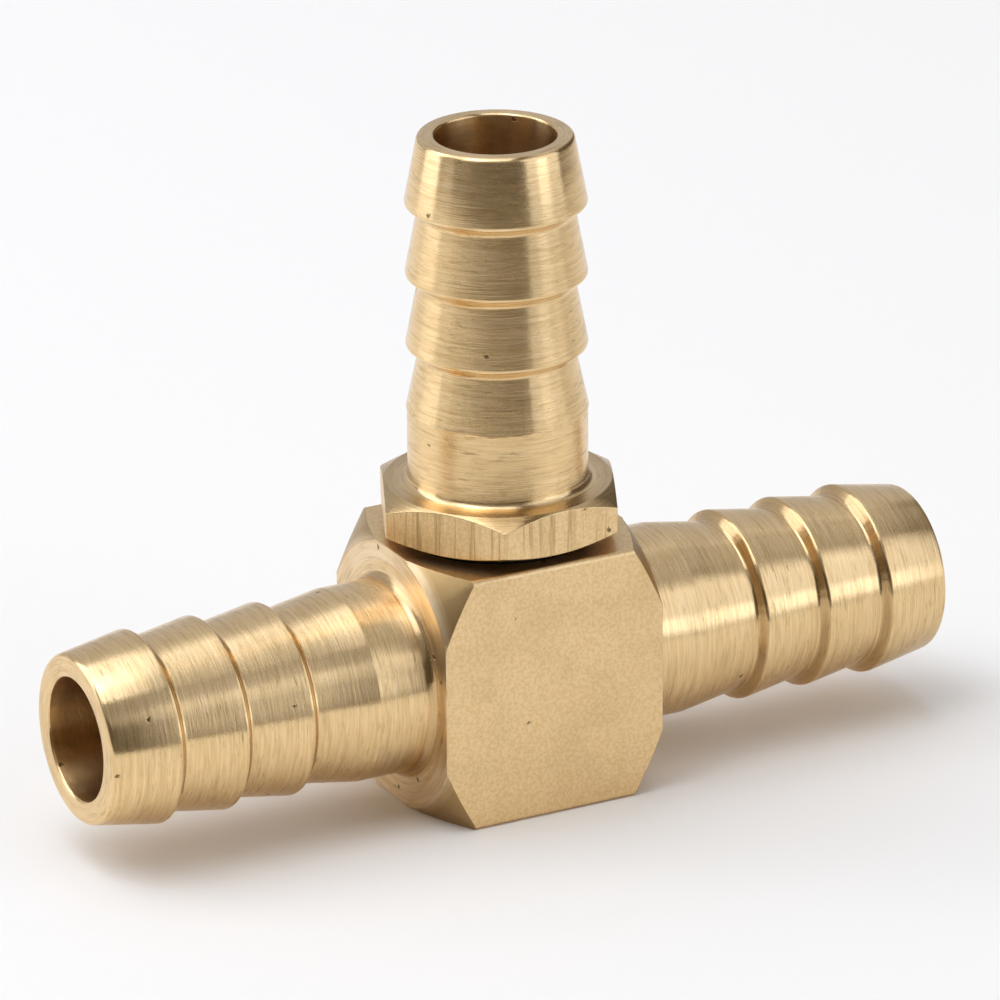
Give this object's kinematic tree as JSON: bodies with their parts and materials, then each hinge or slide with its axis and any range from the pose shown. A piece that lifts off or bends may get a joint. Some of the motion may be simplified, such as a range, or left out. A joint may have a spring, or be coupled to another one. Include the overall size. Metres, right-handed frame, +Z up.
{
  "type": "barbed hose tee connector",
  "caption": "Brass hose tee: a turned square-bar body with a barb on each end of the run and a screwed-in hexagon branch barb on a sealing ring.",
  "frame": {"origin": "centre of the underside of the block, which the tee stands on", "axes": "+X along the run towards one hose barb, +Y across the run, +Z up along the branch barb, away from the block"},
  "size_m": [0.053, 0.0136, 0.0382],
  "materials": {
    "body_brass": "as machined: fine turning marks on the barbs and the block's ends, matt grain on the flats of the bar",
    "branch_brass": "as machined: fine turning marks on the barb, drawn streaks on the hexagon's flats",
    "ring_rubber": "smooth moulded nitrile rubber"
  },
  "bodies": {
    "body": {"tee_body": "body_brass"},
    "seal": {"sealing_ring": "ring_rubber"},
    "branch": {"branch_barb": "branch_brass"}
  },
  "joints": [
    {"name": "branch_lift", "type": "slide", "parent": "body", "child": "seal", "axis": [0, 0, 1], "range_m": [0, 0.00181]},
    {"name": "branch_screw", "type": "hinge", "parent": "seal", "child": "branch", "pos_m": [0, 0, 0.0154], "axis": [0, 0, 1], "range_deg": [0, 720]}
  ],
  "couplings": [
    {"joint": "branch_lift", "follows": "branch_screw", "m_per_rad": 0.00014435}
  ]
}
